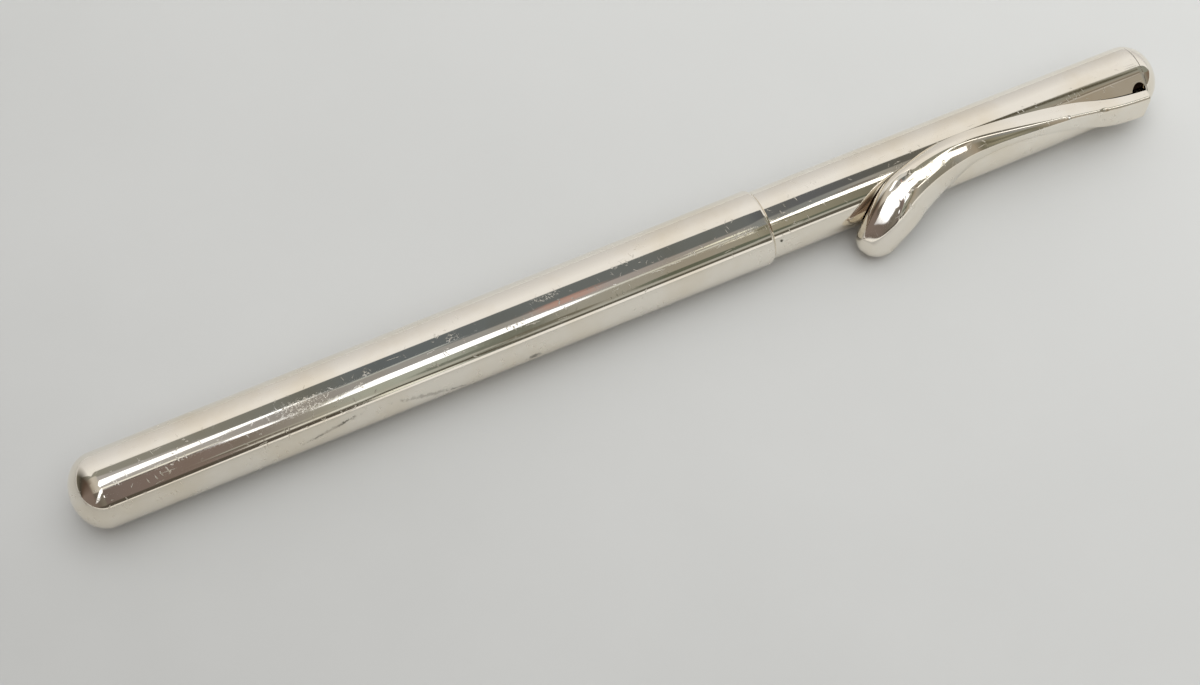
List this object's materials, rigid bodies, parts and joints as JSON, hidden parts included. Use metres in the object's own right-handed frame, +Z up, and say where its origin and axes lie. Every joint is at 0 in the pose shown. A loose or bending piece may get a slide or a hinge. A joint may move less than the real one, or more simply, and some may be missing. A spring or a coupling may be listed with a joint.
{
  "type": "ballpoint pen",
  "caption": "Slim capped ballpoint pen in polished silver, with a round barrel, a pull-off cap and a sprung wave-shaped pocket clip.",
  "frame": {"origin": "on the table, under the middle of the pen as it lies with its cap on", "axes": "+X along the pen towards the cap's closed end, +Y away from the clip's side across the pen, +Z up from the table"},
  "size_m": [0.1346, 0.0128, 0.0095],
  "materials": {
    "silver": "mirror-polished silver with fine wear scratches",
    "section_silver": "polished silver, lightly handled",
    "brass": "turned",
    "steel": "drawn",
    "spring_steel": "drawn wire",
    "carbide": "ground and polished",
    "black_plastic": "moulded",
    "ink": "thick ink"
  },
  "bodies": {
    "barrel": {"barrel_shell": "silver", "barrel_liner": "brass", "thread_bush": "brass", "rear_plug": "brass", "refill_spring": "spring_steel"},
    "washer": {"mouth_washer": "steel"},
    "section": {"grip_section": "section_silver", "nose_cone": "section_silver"},
    "refill": {"refill_tube": "steel", "refill_plug": "black_plastic", "ink_column": "ink", "refill_tip": "brass"},
    "ball": {"writing_ball": "carbide"},
    "catch": {"catch_ring": "spring_steel"},
    "cap": {"cap_shell": "silver", "cap_end_dome": "silver", "inner_cap": "black_plastic", "clutch_sleeve": "brass", "clip_block": "brass", "clip_pin": "steel", "clip_spring": "spring_steel"},
    "clip_arm": {"clip": "silver"}
  },
  "joints": [
    {"name": "section_turn", "type": "hinge", "parent": "barrel", "child": "washer", "pos_m": [0.0121, 0.00187, 0.00449], "axis": [1, 0, 0], "range_deg": [0, 2160]},
    {"name": "section_out", "type": "slide", "parent": "washer", "child": "section", "axis": [1, 0, 0], "range_m": [0, 0.0045]},
    {"name": "cap_turn", "type": "hinge", "parent": "section", "child": "catch", "pos_m": [0.0176, 0.00187, 0.00449], "axis": [1, 0, 0], "continuous": true},
    {"name": "cap_pull", "type": "slide", "parent": "catch", "child": "cap", "axis": [1, 0, 0], "range_m": [0, 0.045]},
    {"name": "clip_swing", "type": "hinge", "parent": "cap", "child": "clip_arm", "pos_m": [0.06315, 0.00128, 0.00457], "axis": [0, 0.1392, 0.9903], "range_deg": [0, 6], "stiffness_Nm_per_rad": 0.5, "springref_deg": -5.16, "deforming": ["clip_spring"]},
    {"name": "refill_float", "type": "slide", "parent": "section", "child": "refill", "axis": [1, 0, 0], "range_m": [-0.0008, 0], "stiffness_N_per_m": 200, "springref_m": 0.004, "deforming": ["refill_spring"]},
    {"name": "ball_roll", "type": "hinge", "parent": "refill", "child": "ball", "pos_m": [0.0544, 0.00187, 0.00449], "axis": [0, 1, 0], "continuous": true}
  ],
  "couplings": [
    {"joint": "section_turn", "follows": "section_out", "rad_per_m": 8377.6}
  ]
}
